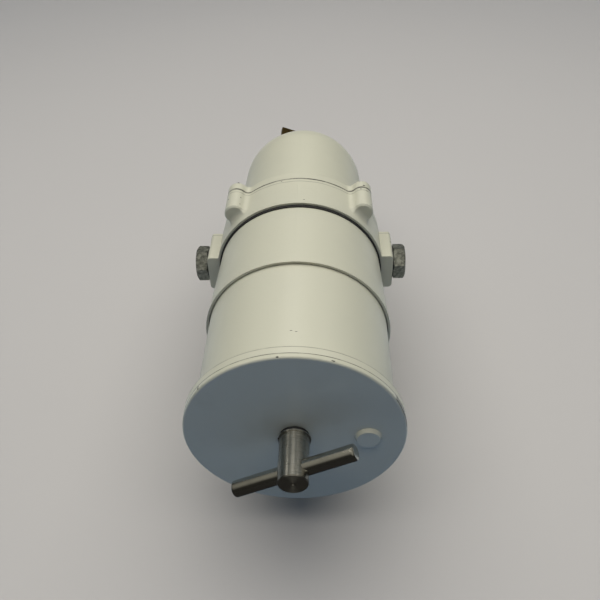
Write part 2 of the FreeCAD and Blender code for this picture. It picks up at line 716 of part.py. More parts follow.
def make_head():
    """Head casting: ring with both ports, hub, passages, lugs and the bracket pad."""
    body = new_body("head")
    spigot_radius = d.head_spigot_radius
    spigot_top = d.head_shoulder - d.head_spigot_depth
    revolve(body, "head_ring", [
        (spigot_top, d.head_bore_radius), (spigot_top, spigot_radius),
        (d.head_shoulder, spigot_radius), (d.head_shoulder, d.head_rim_bore_radius),
        (d.head_face, d.head_rim_bore_radius), (d.head_face, d.head_face_radius),
        (d.parting, d.head_parting_radius),
        (d.parting, d.head_bore_radius)])
    block_span = d.parting - d.port_block_end_gap - d.head_face
    for side, corner in (("inlet", -d.port_face), ("outlet", d.head_bore_radius)):
        block(body, f"{side}_block", (corner, d.head_face, -d.port_block_half_height),
              (d.port_face - d.head_bore_radius, block_span, d.port_block_half_height * 2))
    round_edges(body, "block_corners", d.port_block_round, is_block_corner)
    revolve(body, "housing_seat", ring_outline(
        d.head_face, d.head_shoulder, spigot_radius, d.head_rim_bore_radius), cut=True)
    lug_top = d.parting - d.lug_height
    taper_end = lug_top + d.lug_end_taper
    lug = cylinder(body, "lug", d.lug_radius, d.lug_height - d.lug_end_taper, ALONG_Y,
                   d.lug_offset, taper_end, d.lug_offset)
    repeat_round_axis(body, "lugs", [lug], as_size(4))
    lug_end = cone(body, "lug_end", d.lug_radius - d.lug_end_taper, d.lug_radius,
                   d.lug_end_taper, ALONG_Y, d.lug_offset, lug_top, d.lug_offset)
    repeat_round_axis(body, "lug_ends", [lug_end], as_size(4))
    round_edges(body, "lug_blends", d.lug_blend_radius, meets_ring(
        d.head_face, d.parting, d.head_face_radius, d.head_parting_radius))
    block(body, "bracket_pad", (-d.pad_half_width, d.head_shoulder, -d.pad_drop),
          (d.pad_half_width * 2, d.parting - d.port_block_end_gap - d.head_shoulder,
           d.pad_drop - d.arm_reach))
    cylinder(body, "hub", d.head_hub_radius, d.hub_bottom - d.hub_top, ALONG_Y, 0, d.hub_top, 0)
    cylinder(body, "outlet_arm", d.outlet_arm_radius, d.arm_reach, ALONG_X)
    cylinder(body, "inlet_drop", d.inlet_drop_radius, d.drop_end + d.outlet_arm_radius, ALONG_Y,
             -d.inlet_drop_place, -d.outlet_arm_radius, 0)
    cylinder(body, "inlet_arm", d.outlet_arm_radius, d.arm_reach, ALONG_X, -d.arm_reach, 0, 0)
    rib_start = d.head_shoulder + d.head_rib_inset
    block(body, "rib", (-(d.head_rib_thickness / 2), rib_start, -d.arm_reach),
          (d.head_rib_thickness, d.parting - d.head_rib_inset - rib_start, d.arm_reach * 2))
    cut_head_passages(body)
    return body


def meets_ring(start, end, start_radius, end_radius):
    """A test for the edges along which lugs or ears meet the ring, between its two ends."""
    reach = d.lug_radius.value + d.merge_depth.value

    def is_wanted(edge):
        middle = edge.valueAt(sum(edge.ParameterRange) / 2)
        share = (middle.y - start.value) / (end.value - start.value)
        ring_radius = start_radius.value + (end_radius.value - start_radius.value) * share
        on_ring = abs(math.hypot(middle.x, middle.z) - ring_radius) < MATCH * 10
        to_end = min(abs(middle.y - start.value), abs(middle.y - end.value))
        in_end_face = edge.BoundBox.YLength < MATCH and to_end < MATCH
        across, up = abs(middle.x) - d.lug_offset.value, abs(middle.z) - d.lug_offset.value
        return on_ring and math.hypot(across, up) < reach and not in_end_face
    return is_wanted


def is_block_corner(edge):
    """The long edges of the two port blocks and the edges round their faces."""
    box = edge.BoundBox
    outside = min(abs(box.XMin), abs(box.XMax)) > d.port_face.value - d.port_reach.value / 2
    straight = isinstance(edge.Curve, (Part.Line, Part.LineSegment))
    level = box.ZLength < MATCH and abs(abs(box.ZMin) - d.port_block_half_height.value) < MATCH
    return outside and straight and level


def cut_head_passages(body):
    """Ports, fuel passages and tapped holes of the head."""
    for side, sign in (("inlet", -1), ("outlet", 1)):
        start = d.port_face * sign if sign < 0 else d.port_face - d.port_bore_depth
        cylinder(body, f"{side}_port", d.port_bore_radius + d.fit_gap, d.port_bore_depth, ALONG_X,
                 start, 0, 0, cut=True)
    cylinder(body, "outlet_passage", d.passage_radius, d.port_face, ALONG_X, 0, 0, 0, cut=True)
    cylinder(body, "inlet_passage", d.passage_radius, d.port_face - d.inlet_drop_place, ALONG_X,
             -d.port_face, 0, 0, cut=True)
    cylinder(body, "drop_passage", d.inlet_drop_bore, d.drop_end, ALONG_Y,
             -d.inlet_drop_place, 0, 0, cut=True)
    cylinder(body, "return_socket", d.return_tube_radius + d.fit_gap, d.return_tube_engagement,
             ALONG_Y, 0, d.hub_top, 0, cut=True)
    cylinder(body, "hub_passage", d.return_tube_radius - d.hub_passage_step, -d.return_tube_end, ALONG_Y,
             0, d.return_tube_end, 0, cut=True)
    cylinder(body, "baffle_bolt_hole", d.bolt_thread_bore, d.baffle_bolt_grip, ALONG_Y,
             0, d.hub_bottom - d.baffle_bolt_grip, 0, cut=True)
    lug_hole_depth = d.bowl_bolt_grip + d.tapped_hole_spare
    lug_hole = cylinder(body, "lug_hole", d.bolt_thread_bore, lug_hole_depth, ALONG_Y,
                        d.lug_offset, d.parting - lug_hole_depth, d.lug_offset, cut=True)
    repeat_round_axis(body, "lug_holes", [lug_hole], as_size(4))
    pad_hole = cylinder(body, "pad_hole", d.bolt_thread_bore,
                        d.bracket_bolt_grip + d.tapped_hole_spare, ALONG_Z,
                        -(d.pad_bolt_pitch_x / 2), d.pad_middle - d.pad_bolt_pitch_y / 2,
                        -d.pad_drop, cut=True)
    repeat_in_rows(body, "pad_holes", [pad_hole], d.pad_bolt_pitch_x, d.pad_bolt_pitch_y)


def make_return_tube():
    """Centre tube that carries clean fuel to the head and takes the spindle's thread."""
    body = turned_body("return_tube", ring_outline(
        d.return_tube_top, d.return_tube_end, d.lid_bore_radius, d.return_tube_radius))
    hole = cylinder(body, "return_hole", d.return_hole_radius, d.return_tube_radius * 2, ALONG_Z,
                    0, d.return_tube_top + d.return_hole_inset, 0, cut=True)
    repeat_round_axis(body, "return_holes", [hole], as_size(4))
    return body


def make_element_media():
    """Pleated paper: one folded sheet between two zigzag outlines."""
    media = doc.addObject("Part::Feature", "element_media")
    media.Label = "element_media"
    count = int(SIZES["element_pleat_count"])
    crest = d.element_radius.value
    root = d.element_core_radius.value + d.pleat_shift.value
    shift = d.pleat_shift.value

    def zigzag(outer, inner):
        corners = []
        for fold in range(2 * count + 1):
            radius = inner if fold % 2 else outer
            angle = math.pi * fold / count
            corners.append(FreeCAD.Vector(radius * math.cos(angle), d.media_top.value,
                                          radius * math.sin(angle)))
        return Part.Wire(Part.makePolygon(corners))

    outside = Part.Face(zigzag(crest, root))
    inside = Part.Face(zigzag(crest - shift, root - shift))
    length = FreeCAD.Vector(0, d.element_length.value, 0)
    media.Shape = outside.cut(inside).Faces[0].extrude(length)
    media.Placement = FreeCAD.Placement(FreeCAD.Vector(0, 0, d.axis_height.value), ALONG_Z)
    bind(media, "Placement.Base.z", d.axis_height)
    return media


def make_element_caps():
    """End caps of the element, each with a lip round the pleats."""
    cap_radius = d.element_radius + d.loose_gap + d.cap_lip_width
    pleat_clear = d.element_radius + d.loose_gap
    top_cap = turned_body("element_top_cap", [
        (d.element_top, d.cap_bore_radius), (d.element_top, cap_radius),
        (d.media_top + d.cap_lip_height, cap_radius),
        (d.media_top + d.cap_lip_height, pleat_clear),
        (d.media_top, pleat_clear), (d.media_top, d.cap_bore_radius)])
    bottom_cap = turned_body("element_bottom_cap", [
        (d.element_bottom, d.cap_bore_radius), (d.element_bottom, cap_radius),
        (d.media_bottom - d.cap_lip_height, cap_radius),
        (d.media_bottom - d.cap_lip_height, pleat_clear),
        (d.media_bottom, pleat_clear), (d.media_bottom, d.cap_bore_radius)])
    return [top_cap, bottom_cap]


def make_element_grommets():
    """Rubber grommets that seal the caps on the return tube."""
    inner = d.return_tube_radius + d.fit_gap
    outer = d.cap_bore_radius - d.fit_gap
    top = turned_body("element_top_grommet", ring_outline(d.element_top, d.media_top, inner, outer))
    bottom = turned_body("element_bottom_grommet", ring_outline(
        d.media_bottom, d.hub_top, inner, outer))
    return [top, bottom]


def make_bowl():
    """Metal bowl: flange with four ears, tapering wall, round end and drain boss."""
    body = new_body("bowl")
    groove_floor = d.parting + d.bowl_gasket_height
    revolve(body, "bowl_shell", [
        (d.parting, d.bowl_bore_radius), (d.parting, d.bowl_flange_radius),
        (d.flange_end, d.bowl_flange_radius), (d.flange_end, d.bowl_neck_radius),
        (d.dome_centre, d.dome_radius, d.dome_centre), (d.dome_tip, 0),
        (d.dome_centre + d.dome_bore_radius, 0, d.dome_centre),
        (d.dome_centre, d.dome_bore_radius)])
    ear = cylinder(body, "ear", d.lug_radius, d.bowl_flange_thickness, ALONG_Y,
                   d.lug_offset, d.parting, d.lug_offset)
    repeat_round_axis(body, "ears", [ear], as_size(4))
    round_edges(body, "ear_blends", d.lug_blend_radius, meets_ring(
        d.parting, d.flange_end, d.bowl_flange_radius, d.bowl_flange_radius))
    revolve(body, "gasket_groove", ring_outline(
        d.parting, groove_floor, d.bowl_gasket_inner_radius, d.bowl_gasket_outer_radius), cut=True)
    cylinder(body, "drain_boss", d.drain_boss_radius,
             d.drain_boss_height + d.bowl_wall, ALONG_Y, 0, d.dome_tip - d.bowl_wall, 0)
    cylinder(body, "drain_hole", d.drain_thread_radius + d.fit_gap,
             d.drain_boss_height + d.bowl_wall * 2, ALONG_Y, 0, d.dome_tip - d.bowl_wall * 2, 0,
             cut=True)
    hole = cylinder(body, "ear_hole", d.bolt_hole_radius, d.bowl_flange_thickness, ALONG_Y,
                    d.lug_offset, d.parting, d.lug_offset, cut=True)
    repeat_round_axis(body, "ear_holes", [hole], as_size(4))
    return body


def make_bowl_gasket():
    return turned_body("bowl_gasket", ring_outline(
        d.parting, d.parting + d.bowl_gasket_height, d.bowl_gasket_inner_radius,
        d.bowl_gasket_outer_radius))


def make_bowl_fasteners():
    """Four bolts with washers, from the bowl's ears into the head's lugs."""
    washers = new_body("bowl_bolt_washers")
    washer = cylinder(washers, "bowl_washer", d.bolt_washer_radius, d.bolt_washer_thickness,
                      ALONG_Y, d.lug_offset, d.flange_end, d.lug_offset)
    cylinder(washers, "bowl_washer_hole", d.bolt_hole_radius, d.bolt_washer_thickness,
             ALONG_Y, d.lug_offset, d.flange_end, d.lug_offset, cut=True)
    hole = washers.Tip
    repeat_round_axis(washers, "bowl_washers", [washer, hole], as_size(4))
    bolts = new_body("bowl_bolts")
    under_head = d.flange_end + d.bolt_washer_thickness
    shank_start = d.parting - d.bowl_bolt_grip
    shank = cylinder(bolts, "bowl_bolt_shank", d.bolt_radius,
                     under_head + d.bolt_head_height / 2 - shank_start, ALONG_Y,
                     d.lug_offset, shank_start, d.lug_offset)
    head = hexagon_pad(bolts, "bowl_bolt_head", d.bolt_head_across, d.bolt_head_height,
                       "XZ_Plane", under_head, (d.lug_offset, d.lug_offset))
    repeat_round_axis(bolts, "bowl_bolt_set", [shank, head], as_size(4))
    return [washers, bolts]


def make_port_plugs():
    """Hexagon plugs with their sealing rings, one in each port."""
    pieces = []
    under_head = d.port_face + d.plug_socket_clearance
    face = under_head + d.plug_head_height
    round_radius = d.plug_face_round / 2
    beyond_corners = d.plug_across / ROOT_3 + d.merge_depth
    for side, sign, angle in (("left", -1, "inlet_plug_angle"), ("right", 1, "outlet_plug_angle")):
        plug = new_body(f"port_plug_{side}")
        flat_turn = FreeCAD.Rotation(FreeCAD.Vector(1, 0, 0), SIZES[angle])
        shank_start = (d.port_face - d.plug_shank_length) * sign
        head_start = under_head * sign
        outward = ALONG_X if sign > 0 else FreeCAD.Rotation(FreeCAD.Vector(0, 1, 0), -90)
        cylinder(plug, f"{side}_plug_shank", d.port_bore_radius,
                 d.plug_shank_length + d.plug_socket_clearance, outward, shank_start, 0, 0)
        hexagon(plug, f"{side}_plug_head", d.plug_across, d.plug_head_height,
                flat_turn.multiply(outward), head_start, 0, 0)
        revolve(plug, f"{side}_plug_chamfer", [
            (face * sign, round_radius), (face * sign, beyond_corners),
            ((face - d.plug_corner_chamfer) * sign, beyond_corners)], cut=True, plane="XZ_Plane")
        revolve(plug, f"{side}_plug_back_chamfer", [
            (under_head * sign, round_radius), (under_head * sign, beyond_corners),
            ((under_head + d.plug_inner_chamfer) * sign, beyond_corners)],
            cut=True, plane="XZ_Plane")
        ring = new_body(f"port_ring_{side}")
        ring_inner = d.port_bore_radius + d.fit_gap
        cylinder(ring, f"{side}_ring", ring_inner + d.plug_ring_width, d.plug_socket_clearance,
                 outward, d.port_face * sign, 0, 0)
        cylinder(ring, f"{side}_ring_hole", ring_inner, d.plug_socket_clearance,
                 outward, d.port_face * sign, 0, 0, cut=True)
        pieces += [plug, ring]
    return pieces


def make_turbine():
    """Open turbine under the hub: boss, small plate and straight vanes."""
    body = turned_body("turbine", [
        (d.hub_bottom, d.bolt_hole_radius), (d.hub_bottom, d.turbine_boss_radius),
        (d.turbine_top, d.turbine_boss_radius), (d.turbine_top, d.turbine_plate_radius),
        (d.turbine_top + d.turbine_plate_thickness, d.turbine_plate_radius),
        (d.turbine_top + d.turbine_plate_thickness, d.turbine_boss_radius),
        (d.turbine_end, d.turbine_boss_radius), (d.turbine_end, d.bolt_hole_radius)])
    vane_root = d.turbine_boss_radius - d.merge_depth
    vane = block(body, "vane", (vane_root, d.turbine_top, -(d.turbine_vane_thickness / 2)),
                 (d.turbine_radius - vane_root, d.turbine_height, d.turbine_vane_thickness))
    repeat_round_axis(body, "vanes", [vane], d.turbine_vane_count)
    return body


def make_baffle():
    """Conical baffle clamped under the turbine."""
    cone_start = d.turbine_end + d.baffle_wall
    cone_end = cone_start + d.baffle_fall
    return turned_body("conical_baffle", [
        (d.turbine_end, d.bolt_hole_radius), (d.turbine_end, d.turbine_boss_radius),
        (cone_start, d.turbine_boss_radius), (cone_end, d.baffle_radius),
        (cone_end + d.baffle_wall, d.baffle_radius),
        (cone_start + d.baffle_wall, d.turbine_boss_radius),
        (d.baffle_end, d.turbine_boss_radius), (d.baffle_end, d.bolt_hole_radius)])


def make_baffle_fastener():
    """Long bolt and washer that hold the turbine and the baffle to the hub."""
    under_head = d.baffle_end + d.bolt_washer_thickness
    shank_start = d.hub_bottom - d.baffle_bolt_grip + d.tapped_hole_spare
    bolt = turned_body("baffle_bolt", rod_outline(shank_start, under_head, d.bolt_radius))
    hexagon(bolt, "baffle_bolt_head", d.bolt_head_across, d.bolt_head_height, ALONG_Y,
            0, under_head, 0)
    washer = turned_body("baffle_washer", ring_outline(
        d.baffle_end, under_head, d.bolt_hole_radius, d.bolt_washer_radius))
    return [bolt, washer]


def make_check_valve():
    """Seat, ball and retainer in the inlet drop of the head."""
    fitted_radius = d.inlet_drop_bore - d.fit_gap
    seat = new_body("ball_seat")
    retainer = new_body("ball_retainer")
    for body, start, bore in ((seat, d.passage_radius, d.seat_bore_radius),
                              (retainer, d.retainer_face, d.retainer_bore_radius)):
        cylinder(body, f"{body.Name}_ring", fitted_radius, d.seat_thickness, ALONG_Y,
                 -d.inlet_drop_place, start, 0)
        cylinder(body, f"{body.Name}_bore", bore, d.seat_thickness, ALONG_Y,
                 -d.inlet_drop_place, start, 0, cut=True)
    bar_reach = d.retainer_bore_radius + d.merge_depth
    block(retainer, "retainer_bar",
          (-(d.inlet_drop_place + bar_reach), d.retainer_face, -(d.retainer_bar_width / 2)),
          (bar_reach * 2, d.seat_thickness, d.retainer_bar_width))
    ball = doc.addObject("Part::Sphere", "check_ball")
    ball.Label = "check_ball"
    bind(ball, "Radius", d.ball_radius)
    place(ball, ALONG_Z, -d.inlet_drop_place, d.retainer_face - d.ball_radius - d.ball_gap,
          d.axis_height)
    return [seat, retainer, ball]


def make_drain():
    """Drain valve: body screwed into the bowl, and the winged key with its ring."""
    bore = d.drain_stem_radius + d.fit_gap
    body = turned_body("drain_body", [
        (d.drain_face - d.drain_thread_length, bore),
        (d.drain_face - d.drain_thread_length, d.drain_thread_radius),
        (d.drain_face, d.drain_thread_radius), (d.drain_face, d.drain_barrel_radius),
        (d.barrel_end, d.drain_barrel_radius), (d.barrel_end, bore)])
    hexagon(body, "drain_hex", d.drain_hex_across, d.drain_hex_height, ALONG_Y,
            0, d.drain_face, 0)
    nozzle_place = d.barrel_start + d.drain_nozzle_collar_radius + d.loose_gap
    collar_reach = d.drain_barrel_radius + d.drain_nozzle_collar_height
    cylinder(body, "nozzle_collar", d.drain_nozzle_collar_radius, collar_reach,
             DOWN_Z, 0, nozzle_place, 0)
    nozzle_reach = collar_reach + d.drain_nozzle_length
    cylinder(body, "drain_nozzle", d.drain_nozzle_radius, nozzle_reach,
             DOWN_Z, 0, nozzle_place, 0)
    cylinder(body, "drain_nozzle_bore", d.drain_nozzle_bore, nozzle_reach,
             DOWN_Z, 0, nozzle_place, 0, cut=True)
    cylinder(body, "drain_bore", bore, d.drain_thread_length + d.drain_hex_height
             + d.drain_barrel_length, ALONG_Y, 0, d.drain_face - d.drain_thread_length, 0, cut=True)
    key = make_drain_key()
    groove = ring_groove()
    ring = turned_body("drain_ring", ring_outline(
        groove.start, groove.end, groove.floor + d.fit_gap, d.drain_stem_radius))
    return [body, key, ring]


def ring_groove():
    """Place of the sealing ring's groove on the drain stem."""
    start = d.barrel_end - d.drain_stem_guide / 2 - d.drain_ring_thickness
    return SimpleNamespace(start=start, end=start + d.drain_ring_thickness,
                           floor=d.drain_stem_radius - d.drain_ring_depth)


def make_drain_key():
    """Winged key on its stem; the wings lie in a plane through the filter axis."""
    key = new_body("drain_key")
    place(key, FreeCAD.Rotation(FreeCAD.Vector(0, 1, 0), SIZES["key_angle"]), z=d.axis_height)
    bind(key, "Placement.Rotation.Angle", d.key_angle)
    groove = ring_groove()
    stem_start = d.drain_face - d.drain_thread_length
    tip_end = stem_start + d.drain_thread_length / 2
    guide_start = d.barrel_end - d.drain_stem_guide
    revolve(key, "key_stem", [
        (stem_start, 0), (stem_start, d.drain_stem_radius), (tip_end, d.drain_stem_radius),
        (tip_end + d.drain_stem_shoulder, d.drain_stem_neck_radius),
        (guide_start - d.drain_stem_shoulder, d.drain_stem_neck_radius),
        (guide_start, d.drain_stem_radius), (groove.start, d.drain_stem_radius),
        (groove.start, groove.floor), (groove.end, groove.floor),
        (groove.end, d.drain_stem_radius), (d.key_start, d.drain_stem_radius),
        (d.key_start, d.key_hub_radius), (d.key_start + d.key_hub_length, d.key_hub_radius),
        (d.key_start + d.key_hub_length, 0)])
    wing_top = d.key_start + d.key_wing_rise + d.key_wing_height
    wing_root = d.key_start + d.key_wing_rise
    wings = outline_sketch(key, "wings_outline", "XY_Plane", [
        (-d.key_half_span, wing_root), (-d.key_hub_radius, d.key_start),
        (d.key_hub_radius, d.key_start), (d.key_half_span, wing_root),
        (d.key_half_span, wing_top), (-d.key_half_span, wing_top)])
    plate = key.newObject("PartDesign::Pad", "wings")
    plate.Profile = wings
    plate.SideType = "Symmetric"
    bind(plate, "Length", d.key_plate_thickness)
    round_edges(key, "wing_corners", d.key_corner_round, is_wing_corner)
    return key


def is_wing_corner(edge):
    """The four short edges across the wings' outer corners."""
    box = edge.BoundBox
    at_end = abs(abs(box.XMin) - d.key_half_span.value) < MATCH and box.XLength < MATCH
    return at_end and box.YLength < MATCH


def make_bracket():
    """Folded steel bracket: two feet on the wall plane and a raised crown for the head."""
    body = new_body("bracket", on_axis=False)
    sheet_thickness = d.bracket_thickness
    wide = d.bracket_half_width
    crown = d.bracket_crown_half_width
    profile = outline_sketch(body, "bracket_profile", "XZ_Plane", [
        (-wide, 0), (-(crown - sheet_thickness), 0), (-(crown - sheet_thickness), d.crown_under),
        (crown - sheet_thickness, d.crown_under), (crown - sheet_thickness, 0), (wide, 0),
        (wide, sheet_thickness), (crown, sheet_thickness), (crown, d.crown_top),
        (-crown, d.crown_top), (-crown, sheet_thickness), (-wide, sheet_thickness)])
    folded = body.newObject("PartDesign::Pad", "bracket_sheet")
    folded.Profile = profile
    folded.SideType = "Symmetric"
    bind(folded, "Length", d.bracket_length)
    inner = d.bracket_bend_radius
    outer = inner + sheet_thickness
    round_edges(body, "inner_bends", inner, is_bend(inner=True))
    round_edges(body, "outer_bends", outer, is_bend(inner=False))
    round_edges(body, "foot_corners", d.bracket_corner_round, is_foot_corner)
    foot_hole = cylinder(body, "mount_hole", d.mount_hole_radius, sheet_thickness, ALONG_Z,
                         -(d.mount_pitch_x / 2), -(d.mount_pitch_y / 2), 0, cut=True)
    repeat_in_rows(body, "mount_holes", [foot_hole], d.mount_pitch_x, d.mount_pitch_y)
    pad_hole = cylinder(body, "crown_hole", d.bolt_hole_radius, sheet_thickness, ALONG_Z,
                        -(d.pad_bolt_pitch_x / 2), d.pad_middle - d.pad_bolt_pitch_y / 2,
                        d.crown_under, cut=True)
    repeat_in_rows(body, "crown_holes", [pad_hole], d.pad_bolt_pitch_x, d.pad_bolt_pitch_y)
    return body


def is_bend(inner):
    """A test for the bend edges on the inner or the outer side of the folds."""
    crown = d.bracket_crown_half_width.value
    thickness = d.bracket_thickness.value
    inner_places = [(crown - thickness, d.crown_under.value), (crown, thickness)]
    outer_places = [(crown, d.crown_top.value), (crown - thickness, 0)]
    places = inner_places if inner else outer_places

    def is_wanted(edge):
        box = edge.BoundBox
        if box.XLength > MATCH or box.ZLength > MATCH:
            return False
        return any(abs(abs(box.XMin) - across) < MATCH and abs(box.ZMin - up) < MATCH
                   for across, up in places)
    return is_wanted


def is_foot_corner(edge):
    """The four upright corner edges of the bracket's feet."""
    box = edge.BoundBox
    return box.XLength < MATCH and box.YLength < MATCH and \
        abs(abs(box.XMin) - d.bracket_half_width.value) < MATCH


def make_bracket_fasteners():
    """Four bolts with washers, from under the crown into the head's pad."""
    x = -(d.pad_bolt_pitch_x / 2)
    y = d.pad_middle - d.pad_bolt_pitch_y / 2
    washer_under = d.crown_under - d.bolt_washer_thickness
    washers = new_body("bracket_washers", on_axis=False)
    washer = cylinder(washers, "bracket_washer", d.bolt_washer_radius, d.bolt_washer_thickness,
                      ALONG_Z, x, y, washer_under)
    hole = cylinder(washers, "bracket_washer_hole", d.bolt_hole_radius, d.bolt_washer_thickness,
                    ALONG_Z, x, y, washer_under, cut=True)
    repeat_in_rows(washers, "bracket_washer_set", [washer, hole],
                   d.pad_bolt_pitch_x, d.pad_bolt_pitch_y)
    bolts = new_body("bracket_bolts", on_axis=False)
    in_head = d.bolt_head_height / 2
    shank_length = in_head + d.bolt_washer_thickness + d.bracket_thickness + d.bracket_bolt_grip
    shank = cylinder(bolts, "bracket_bolt_shank", d.bolt_radius, shank_length,
                     ALONG_Z, x, y, washer_under - in_head)
    head = hexagon_pad(bolts, "bracket_bolt_head", d.bolt_head_across, d.bolt_head_height,
                       "XY_Plane", washer_under, (x, y))
    repeat_in_rows(bolts, "bracket_bolt_set", [shank, head],
                   d.pad_bolt_pitch_x, d.pad_bolt_pitch_y)
    return [washers, bolts]


def check_document(pieces):
    """Stop if anything in the document failed, or a piece has no sound shape."""
    for item in doc.Objects:
        if "Invalid" in item.State or "Error" in item.State:
            raise RuntimeError(f"{item.Name} failed: {item.State}")
    for piece in pieces:
        if piece.Shape.isNull() or not piece.Shape.isValid() or not piece.Shape.Solids:
            raise RuntimeError(f"{piece.Label} has no sound shape")


def write_pieces(pieces):
    os.makedirs("parts", exist_ok=True)
    for piece in pieces:
        piece.Shape.exportStep(f"parts/{piece.Label}.step")


pieces = [
    make_lid(), make_lid_gasket(), make_handle_spindle(), make_handle_bar(),
    make_handle_washer(), make_spindle_clip(), make_canister_tube(), make_housing(),
    *make_housing_gaskets(), make_head(), make_return_tube(), make_element_media(),
    *make_element_caps(), *make_element_grommets(), make_bowl(), make_bowl_gasket(),
    *make_bowl_fasteners(), *make_port_plugs(), make_turbine(), make_baffle(),
    *make_baffle_fastener(), *make_check_valve(), *make_drain(), make_bracket(),
    *make_bracket_fasteners(),
]
doc.recompute()
check_document(pieces)
write_pieces(pieces)
for piece in pieces:
    solids = len(piece.Shape.Solids)
    print(f"{piece.Label}: {solids} solid(s), {piece.Shape.Volume / 1000:.2f} cm3")
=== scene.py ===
import bpy
from mathutils import Matrix, Vector


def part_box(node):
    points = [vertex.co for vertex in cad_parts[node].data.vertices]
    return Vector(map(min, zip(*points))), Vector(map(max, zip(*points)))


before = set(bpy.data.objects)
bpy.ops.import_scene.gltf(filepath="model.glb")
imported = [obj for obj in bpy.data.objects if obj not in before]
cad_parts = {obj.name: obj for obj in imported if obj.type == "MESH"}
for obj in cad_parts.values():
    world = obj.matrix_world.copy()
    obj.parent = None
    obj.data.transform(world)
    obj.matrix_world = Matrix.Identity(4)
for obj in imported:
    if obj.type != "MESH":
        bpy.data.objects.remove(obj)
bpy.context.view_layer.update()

# Looks of the fuel filter: enamel paint, bright and plated steel, brass, rubber and paper.
# Lengths are in metres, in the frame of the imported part: the filter axis runs along Y with
# the lid at -Y, Z is up, and the bracket's back plane lies on the floor at Z = 0.

# Stations along Y where pieces meet, and the size and height of the round pieces
FLANGE_THICKNESS = 0.0055
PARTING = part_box("bowl")[0].y
LID_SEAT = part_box("canister_tube")[0].y
FLANGE_BACK = LID_SEAT + FLANGE_THICKNESS
LID_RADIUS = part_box("lid")[1].x
AXIS_HEIGHT = sum(corner.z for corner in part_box("canister_tube")) / 2

# Fine dark lines round the filter: (station along Y, half width, depth of colour)
LID_SEAM = (LID_SEAT, 0.00045, 0.8)
# On the tube: the seam at the lid seat, then painted contact shade in the crease just behind the
# flange
TUBE_SEAM_AND_SHADE_LINE = ((LID_SEAT, 0.00045, 0.6), (FLANGE_BACK, 0.00080, 0.5))
PARTING_SEAM = (PARTING, 0.00140, 0.95)
TRIM_LINE = (PARTING - 0.0042, 0.00060, 0.40)

# A dark stroke along part of the lid's rim, on the +X side
RIM_LINE_HALF_WIDTH = 0.0006
RIM_LINE_HEIGHTS = (0.112, 0.142)
RIM_LINE_FADE = 0.003
RIM_LINE_DEPTH = 0.85

# Chips seen in the paint, and dashes of painted shade under the bolt heads: (place, radius,
# stretch along X, Y and Z)
ROUND = (1.0, 1.0, 1.0)
OVAL = (1.5, 1.0, 1.0)
LONG_OVAL = (1.6, 1.0, 1.0)
DASH = (2.0, 1.0, 1.0)
SCRATCH = (3.0, 0.8, 1.0)
LID_CHIPS = (
    ((-0.0075, -0.1811, 0.1774), 0.0006, LONG_OVAL),
    ((0.0249, -0.1807, 0.1734), 0.0004, (4.5, 1.0, 1.6)),
    ((-0.0571, -0.1800, 0.1498), 0.0007, (1.0, 2.2, 1.2)))
TUBE_CHIPS = (
    ((-0.0005, -0.1532, 0.1718), 0.00035, SCRATCH),
    ((0.0028, -0.1541, 0.1717), 0.00030, SCRATCH))
HEAD_CHIPS = (
    ((0.0049, -0.0095, 0.1737), 0.00045, LONG_OVAL),
    ((-0.0466, 0.0107, 0.1634), 0.00065, ROUND),
    ((-0.0566, 0.0100, 0.1623), 0.00060, OVAL),
    ((-0.0465, 0.0016, 0.1633), 0.00045, ROUND),
    ((0.0502, 0.0194, 0.1646), 0.00065, ROUND),
    ((0.0550, 0.0177, 0.1635), 0.00070, LONG_OVAL),
    ((0.0578, 0.0020, 0.1608), 0.00060, ROUND),
    ((0.0754, 0.0065, 0.1205), 0.00065, OVAL),
    ((-0.0188, 0.0220, 0.1710), 0.00040, DASH),
    ((-0.0138, 0.0198, 0.1723), 0.00040, DASH),
    ((0.0192, 0.0218, 0.1709), 0.00050, DASH))
BOWL_CHIPS = (
    ((0.0529, 0.0247, 0.1644), 0.00075, LONG_OVAL),)
# Painted shade, not chips: dark dashes where the bolt heads sit on the bowl's ears
BOLT_SHADE_DASHES = (
    ((-0.0513, 0.0359, 0.1620), 0.0010, DASH),
    ((0.0513, 0.0359, 0.1620), 0.0010, DASH))

# Paint and metals, as linear colours
ENAMEL = (0.530, 0.521, 0.402)
ENAMEL_DARK = (0.485, 0.482, 0.378)
ENAMEL_STAIN = (0.37, 0.35, 0.26)
# Dark colour of chips, pits, seams, the rim stroke, and the marks of painted shade
DARK_MARK = (0.035, 0.034, 0.030)
HUB_STEEL = (0.52, 0.51, 0.46)
BAR_STEEL = (0.50, 0.49, 0.44)

# Roughness of the paint, from its smoothest to its dullest patches
SEMI_GLOSS = (0.30, 0.44)
HIGH_GLOSS = (0.12, 0.16)

# Radii over which sharp edges catch the light
CAST_EDGE = 0.0006
TURNED_EDGE = 0.0004
ROLLED_EDGE = 0.0002
BEVEL_SAMPLES = 6

# Heights of the fine relief that is only in the materials
PAINT_RELIEF = 0.00004
CASTING_RELIEF = 0.00035

# How far a mark's ragged edge wanders, and where it fades in, in mark radii
MARK_RAGGED = 1.2
MARK_FADE = (1.7, 1.3)

# The lathe's marks on the hub, and the grain left on the drawn bar, as scales along X, Y and Z
LATHE_SCALE = (60.0, 2600.0, 60.0)
DRAWN_SCALE = (90.0, 1400.0, 90.0)
LATHE_STRENGTH = 0.95
QUARTER_TURN = 0.25

